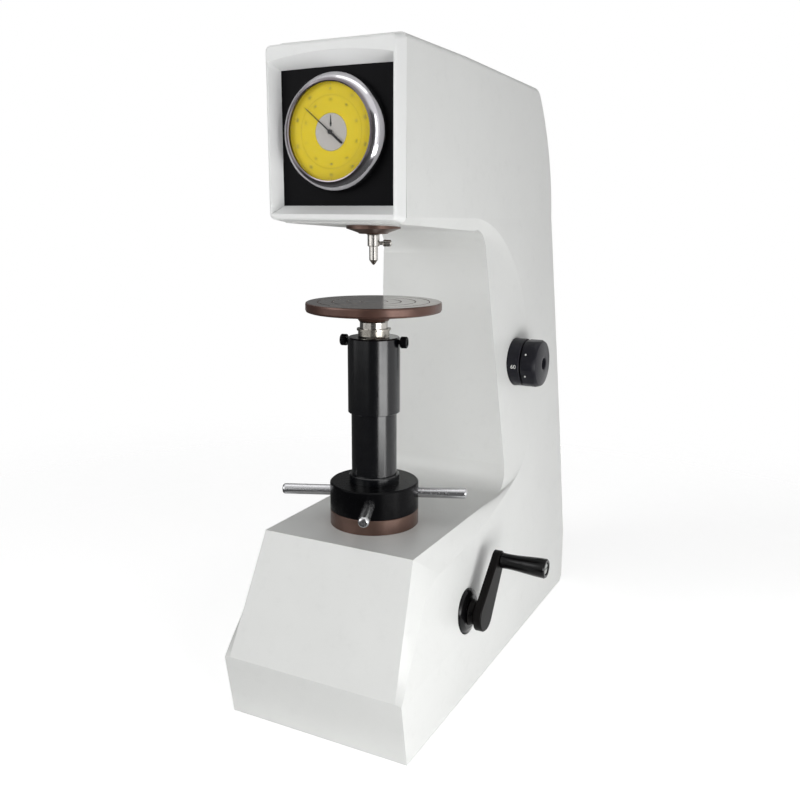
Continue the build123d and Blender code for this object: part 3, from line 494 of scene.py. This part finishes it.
circle_radius = 0.0345
circle_line = 0.00018
bpy.ops.object.select_all(action="DESELECT")
bpy.ops.mesh.primitive_torus_add(major_radius=circle_radius, minor_radius=circle_line,
                                 major_segments=96, minor_segments=6,
                                 location=(0, face_y, gauge_z), rotation=(pi / 2, 0, 0))
scale_circle = bpy.context.object
scale_circle.name = "scale_circle"
settle(scale_circle)
pale_ink = flecked("scale_circle_ink", display(168, 148, 40), display(188, 166, 44),
                   grain=(5000, 3.0), depth=0.000004, variation=0.15, roughness=0.4)
scale_circle.data.materials.append(pale_ink)
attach(scale_circle, "dial")

counter_z = gauge_z + 0.008
counter_radius = 0.0078
tick_width = 0.00022
tick_length = 0.0010
counter = []
for step in range(10):
    turn = 2 * pi * step / 10
    tick_place = dial_point(turn, counter_radius, counter_z)
    counter.append(stroke(turn, tick_place, tick_width, tick_length))
counter_marks = join("counter_marks", counter, ink)
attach(counter_marks, "frame")

# ---- Deck flange, bearing and bushes ----
# Turned steel rings under the handwheel, browned in hot salts, with a thrust bearing between.
# The shafts inside are ground and left bright, and run in bronze bushes pressed into the casting.


def oxide(name, light, dark, shine, roughness, gleam, metal=0.0):
    """Oxide skin on turned steel: fine rings round the test axis, cloudy, rubbed lighter in places."""
    finish, here = new_finish(name)
    from_axis = radius_from(here, (0, 0, 0), "Z")
    ring = (from_axis + here.part("Z")).rings(3800.0, 2.0)
    cloud = here.noise(70, 5.0, 0.6)
    rubbed = here.noise(260, 4.0, 0.7).ease(0.62, 0.8)
    colour = (rubbed * 0.5).blend(cloud.blend(light, dark), shine)
    return lay(finish, here, ring, 0.00001, Base_Color=colour, Metallic=metal,
               Roughness=ring * 0.1 + cloud * 0.14 + roughness, Specular_IOR_Level=gleam)


brown = oxide("browned_steel", display(112, 88, 78), display(80, 61, 54), display(160, 132, 118),
              roughness=0.2, gleam=0.5, metal=0.6)
wear(brown, "deck_flange", "spindle_flange")

shaft_steel = bright_steel("ground_shafts", display(178, 176, 172), grain=(200, 200, 2600), roughness=0.2)
wear(shaft_steel, "thrust_bearing", "guide_key", "lifting_rod", "hanger_rod", "lever_pins",
     "dashpot_cylinder")
bronze = bright_steel("bush_bronze", display(186, 142, 92), grain=(300, 300, 2200), roughness=0.28)
wear(bronze, "screw_bush", "spindle_bush", "rod_bush", "crank_bush", "selector_bush", "dashpot_piston")

# ---- Handwheel ----
# A turned and blackened steel hub, the nut of the lifting screw, with the lower sleeve standing in it.
# Four chromed rods are pressed into its rim, to turn it by.

black = oxide("blacked_steel", display(9, 9, 11), display(5, 5, 7), display(20, 21, 26),
              roughness=0.14, gleam=0.07)
wear(black, "handwheel_hub")
polished_black = oxide("polished_black", display(8, 9, 13), display(4, 5, 8), display(26, 30, 40),
                       roughness=0.08, gleam=0.48)
wear(polished_black, "lower_sleeve", "upper_sleeve")

rod_finish = bright_steel("rod_chrome", display(188, 188, 190), grain=(500, 500, 500), roughness=0.12,
                          depth=0.00001)
wear(rod_finish, "handwheel_rods")

# ---- Lifting screw and its sleeve ----
# A rolled steel screw inside a telescopic sleeve of blacked steel tube.
# Two knurled thumb screws clamp the sleeve's upper tube.

turns_per_metre = 200.0
thread_root = 0.0171
thread_top = 0.42
thread_depth = 0.0012
oiled_light = display(176, 172, 164)
oiled_dark = display(140, 136, 128)
screw_finish, here = new_finish("screw_thread_steel")
around = here.maths("ARCTAN2", here.part("Y"), here.part("X"))
turns = here.part("Z") * turns_per_metre - around * (1 / (2 * pi))
thread = here.maths("PINGPONG", turns, 0.5) * 2.0
threaded = (radius_from(here, (0, 0, 0), "Z") > thread_root) * (here.part("Z") < thread_top)
oil = here.noise(150, 4.0)
lay(screw_finish, here, thread * threaded, thread_depth, Base_Color=oil.blend(oiled_light, oiled_dark),
    Metallic=1.0, Roughness=oil * 0.15 + 0.2)
wear(screw_finish, "lifting_screw")


def choose(piece, kind, wanted):
    """Opens a piece in edit mode, with the faces or vertices selected that pass a test."""
    if piece.mode == "EDIT":
        bpy.ops.object.mode_set(mode="OBJECT")
    only(piece)
    bpy.ops.object.mode_set(mode="EDIT")
    bpy.ops.mesh.select_mode(type=kind)
    bpy.ops.mesh.select_all(action="DESELECT")
    bpy.ops.object.mode_set(mode="OBJECT")
    for row in piece.data.polygons if kind == "FACE" else piece.data.vertices:
        row.select = wanted(row)
    bpy.ops.object.mode_set(mode="EDIT")


def looks_up(face):
    """Test for choose: faces that face +Z."""
    return face.normal.z > 0.9


def looks_down(face):
    """Test for choose: faces that face -Z."""
    return face.normal.z < -0.9


def round_bar(name, sides, radius, length, middle):
    """Plain cylinder along Z, with its middle at this height."""
    bpy.ops.object.select_all(action="DESELECT")
    bpy.ops.mesh.primitive_cylinder_add(vertices=sides, radius=radius, depth=length,
                                        location=(0, 0, middle))
    bar = bpy.context.object
    bar.name = name
    settle(bar)
    return bar


def inset_steps(*steps):
    """Insets the selected faces, once for each step inwards and outwards."""
    for inwards, outwards in steps:
        bpy.ops.mesh.inset(thickness=inwards, depth=outwards)


def draw_down(reach):
    """Extrudes the selected faces along -Z."""
    bpy.ops.mesh.extrude_region_move(TRANSFORM_OT_translate={"value": (0, 0, -reach)})


def smooth(degrees):
    """Leaves edit mode and shades the piece smooth, but for edges sharper than this."""
    bpy.ops.object.mode_set(mode="OBJECT")
    bpy.ops.object.shade_smooth_by_angle(angle=radians(degrees))


def knurled_screw(name, radius, length, ridges, shank, reach):
    """Screw along Z: its crowned and knurled head stands on the origin, its shank below."""
    crown = length * 0.1
    valley_turn = pi / ridges
    valley_size = 0.91
    screw = round_bar(name, 2 * ridges, radius, length - 2 * crown, length / 2)
    choose(screw, "FACE", lambda face: abs(face.normal.z) > 0.9)
    inset_steps((crown, crown))
    choose(screw, "FACE", looks_up)
    inset_steps((radius * 0.3, crown * 0.2), (radius * 0.15, -crown))
    choose(screw, "FACE", looks_down)
    inset_steps((radius - crown - shank, 0))
    draw_down(reach)
    choose(screw, "VERT", lambda spot: hypot(spot.co.x, spot.co.y) > 0.98 * radius
           and round(atan2(spot.co.y, spot.co.x) / valley_turn) % 2 == 1)
    bpy.ops.transform.resize(value=(valley_size, valley_size, 1), center_override=(0, 0, 0))
    smooth(32)
    return screw


def point_outwards(piece, turn, distance, height):
    """Turns a piece that points up so that it points away from the test axis, and settles it."""
    piece.rotation_euler = (0, pi / 2, turn)
    piece.location = (distance * cos(turn), distance * sin(turn), height)
    settle(piece)


def twin(piece):
    """A copy of a piece, with its own mesh."""
    only(piece)
    bpy.ops.object.duplicate()
    return bpy.context.object


sleeve_radius = 0.0316
clamp_z = 0.4135
right_screw = knurled_screw("knurled_thumb_screws", radius=0.0065, length=0.007, ridges=22,
                            shank=0.0025, reach=0.014)
left_screw = twin(right_screw)
point_outwards(right_screw, radians(10), sleeve_radius, clamp_z)
point_outwards(left_screw, radians(190), sleeve_radius, clamp_z)
thumb_screws = join("knurled_thumb_screws", [right_screw, left_screw], black)
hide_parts("sleeve_thumb_screws")
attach(thumb_screws, "screw")

# ---- Anvil ----
# A flat table turned from one piece of steel, whose stem drops into the top of the lifting screw.
# It is browned all over, then its top is ground bright and four rings are cut in it.

ground_above = 0.4571
ground_within = 0.0735
stem_below = 0.4365
browned_light = display(100, 72, 62)
browned_dark = display(70, 50, 44)
ground_light = display(134, 127, 121)
ground_dark = display(118, 111, 105)
stem_light = display(196, 193, 188)
stem_dark = display(170, 166, 160)
anvil_finish, here = new_finish("anvil_steel")
from_axis = radius_from(here, (0, 0, 0), "Z")
height = here.part("Z")
ground = (height > ground_above) * (from_axis < ground_within)
stem = height < stem_below
bright = here.maths("MAXIMUM", ground, stem)
arcs = (from_axis + height).rings(4200.0, 3.0)
cloud = here.noise(60, 5.0, 0.65)
top = ground.blend(cloud.blend(browned_light, browned_dark), cloud.blend(ground_light, ground_dark))
lay(anvil_finish, here, arcs, 0.000006, Base_Color=stem.blend(top, cloud.blend(stem_light, stem_dark)),
    Metallic=bright * 0.5 + 0.5, Roughness=cloud * 0.1 + arcs * 0.08 + 0.24 - bright * 0.16)
wear(anvil_finish, "flat_anvil")

# ---- Spindle, indenter and preload spring ----
# Ground steel that slides in the head, with a coil that holds the spindle down on its collar.
# A knurled screw in the spindle's nose clamps the indenter.

spindle_steel = bright_steel("spindle_steel", display(196, 193, 188), grain=(260, 260, 3000),
                             roughness=0.14)
wear(spindle_steel, "spindle", "indenter", "preload_spring")

nose_radius = 0.0105
nose_z = 0.5205
clamp_screw = knurled_screw("knurled_clamp_screw", radius=0.0036, length=0.009, ridges=14,
                            shank=0.002, reach=0.0074)
clamp_screw.data.materials.append(spindle_steel)
point_outwards(clamp_screw, radians(20), nose_radius, nose_z)
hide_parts("indenter_screw")
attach(clamp_screw, "spindle")

# ---- Load train ----
# Cast lever and bracket, enamelled iron weights, and turned shafts and cams of bare steel.
# They are hidden inside the casting, where pins hold the lever and the hanger.

iron_finish = flecked("raw_iron", display(88, 86, 84), display(62, 60, 58), grain=(700, 5.0, 0.7),
                      depth=0.0002, variation=0.2, roughness=0.5, Metallic=0.4)
wear(iron_finish, "lever_bracket", "main_lever")
weight_finish = flecked("weight_enamel", display(52, 58, 62), display(38, 42, 46),
                        grain=(300, 5.0, 0.6), depth=0.00015, variation=0.15, roughness=0.35)
wear(weight_finish, "weight_60", "weight_100", "weight_150")
cam_steel = bright_steel("cam_steel", display(170, 168, 164), grain=(2200, 260, 260), roughness=0.24)
wear(cam_steel, "lifting_cam", "crank_shaft", "rock_shaft", "selector_shaft", "selector_cams")

# ---- Crank ----
# A moulded flange on the side of the base, and an enamelled arm that a set screw holds to the shaft.
# A moulded grip turns freely on a zinc plated screw at the arm's end.

gloss_light = display(5, 5, 6)
gloss_dark = display(9, 9, 10)
gloss_finish, here = new_finish("flange_moulding")
flow = here.noise(120, 4.0)
pores = here.noise(1600, 2.0)
lay(gloss_finish, here, pores * 0.4 + flow, 0.00003, Base_Color=flow.blend(gloss_light, gloss_dark),
    Roughness=flow * 0.1 + 0.12, Specular_IOR_Level=0.18)
wear(gloss_finish, "crank_flange", "crank_grip")

arm_light = display(10, 9, 9)
arm_dark = display(18, 16, 15)
arm_finish, here = new_finish("arm_enamel")
peel = here.noise(900, 3.0)
cloud = here.noise(60, 4.0)
lay(arm_finish, here, peel, 0.00005, Base_Color=cloud.blend(arm_light, arm_dark),
    Roughness=peel * 0.12 + 0.34, Specular_IOR_Level=0.07)
wear(arm_finish, "crank_arm")
wear(zinc, "grip_screw")


def small_head(name, radius, height, recess):
    """Small crowned screw head, standing on the origin along Z, with a recess in its top."""
    crown = height * 0.3
    rim = height - crown
    head = round_bar(name, 24, radius, rim, rim / 2)
    choose(head, "FACE", looks_up)
    inset_steps((radius * 0.25, crown), (radius * 0.25, -recess))
    smooth(32)
    return head


def stand_on_rim(piece, x, axis, turn, radius):
    """Puts a piece that points up on a rim round an axis along X, turned from +Y towards +Z."""
    axis_y, axis_z = axis
    piece.rotation_euler = (turn - pi / 2, 0, 0)
    piece.location = (x, axis_y + radius * cos(turn), axis_z + radius * sin(turn))
    settle(piece)


crank_axis = (0.026, 0.1035)
boss_x = 0.1163
boss_radius = 0.0126
set_screw = small_head("crank_set_screw", radius=0.0026, height=0.0022, recess=0.0016)
set_screw.data.materials.append(black)
stand_on_rim(set_screw, boss_x, crank_axis, radians(166), boss_radius)
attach(set_screw, "crank")

# ---- Load selector ----
# A domed black knob with six flats, moulded and screwed to its shaft through the bore in its top.
# White dots on it are turned to the load figures, which are printed on a fixed moulded ring.

knob_light = display(26, 26, 31)
knob_dark = display(34, 34, 40)
knob_finish, here = new_finish("knob_moulding")
flow = here.noise(90, 4.0)
grain = here.noise(1800, 2.0)
lay(knob_finish, here, grain, 0.00004, Base_Color=flow.blend(knob_light, knob_dark),
    Roughness=grain * 0.12 + 0.26, Specular_IOR_Level=0.14)
wear(knob_finish, "load_scale_ring")

knob_axis = (0.229, 0.363)
knob_x = 0.1009
knob_radius = 0.031
skirt = 0.0152
shoulder = (0.0026, 0.0046)
dome = (0.0164, 0.0018)
land = (0.0043, 0)
bore = (0.0002, -0.008)
foot = (0.005, 0)
foot_height = 0.0019
flats = 6
flat_reach = 0.0292
knob = round_bar("domed_load_knob", 96, knob_radius, skirt, skirt / 2)
choose(knob, "FACE", looks_up)
inset_steps(shoulder, dome, land, bore)
choose(knob, "FACE", looks_down)
inset_steps(foot)
draw_down(foot_height)
for step in range(flats):
    turn = step * pi / 3
    outwards = Vector((cos(turn), sin(turn), 0))
    bpy.ops.mesh.select_all(action="SELECT")
    bpy.ops.mesh.bisect(plane_co=outwards * flat_reach, plane_no=outwards, use_fill=True, clear_outer=True)
bpy.ops.object.mode_set(mode="OBJECT")
rounding = knob.modifiers.new("edges", "BEVEL")
rounding.width = 0.0005
rounding.segments = 2
rounding.limit_method = "ANGLE"
rounding.angle_limit = radians(20)
bpy.ops.object.modifier_apply(modifier="edges")
smooth(30)
knob.rotation_euler = (0, pi / 2, 0)
knob.location = (knob_x, *knob_axis)
settle(knob)
knob.data.materials.append(knob_finish)
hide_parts("force_knob")
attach(knob, "selector")

white_light = display(232, 232, 228)
white_chipped = display(150, 150, 148)
white_finish, here = new_finish("white_marks")
chips = here.noise(3000, 4.0, 0.7).ease(0.6, 0.75)
lay(white_finish, here, chips, 0.00001, Base_Color=chips.blend(white_light, white_chipped),
    Roughness=chips * 0.2 + 0.4)

dots_x = 0.107
dots_radius = 0.0306
knob_dots = []
for degrees in (152, 206, 272, 32):
    dot = small_head("index_dots", radius=0.0011, height=0.0008, recess=0.0001)
    stand_on_rim(dot, dots_x, knob_axis, radians(degrees), dots_radius)
    knob_dots.append(dot)
index_dots = join("index_dots", knob_dots, white_finish)
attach(index_dots, "selector")

figures_x = 0.0918
figure_size = 0.0075
first_figure = radians(184)
ring_radius = 0.03062
knob_y, knob_z = knob_axis
loads = []
for step, load in enumerate(("60", "100", "150")):
    turn = first_figure - step * 2 * pi / 3
    on_ring = (figures_x, knob_y + ring_radius * cos(turn), knob_z + ring_radius * sin(turn))
    facing_out = Matrix.Rotation(turn - pi / 2, 4, "X")
    loads.append(stamp(load, figure_size, Matrix.Translation(on_ring) @ facing_out))
load_figures = join("load_figures", loads, white_finish)
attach(load_figures, "frame")
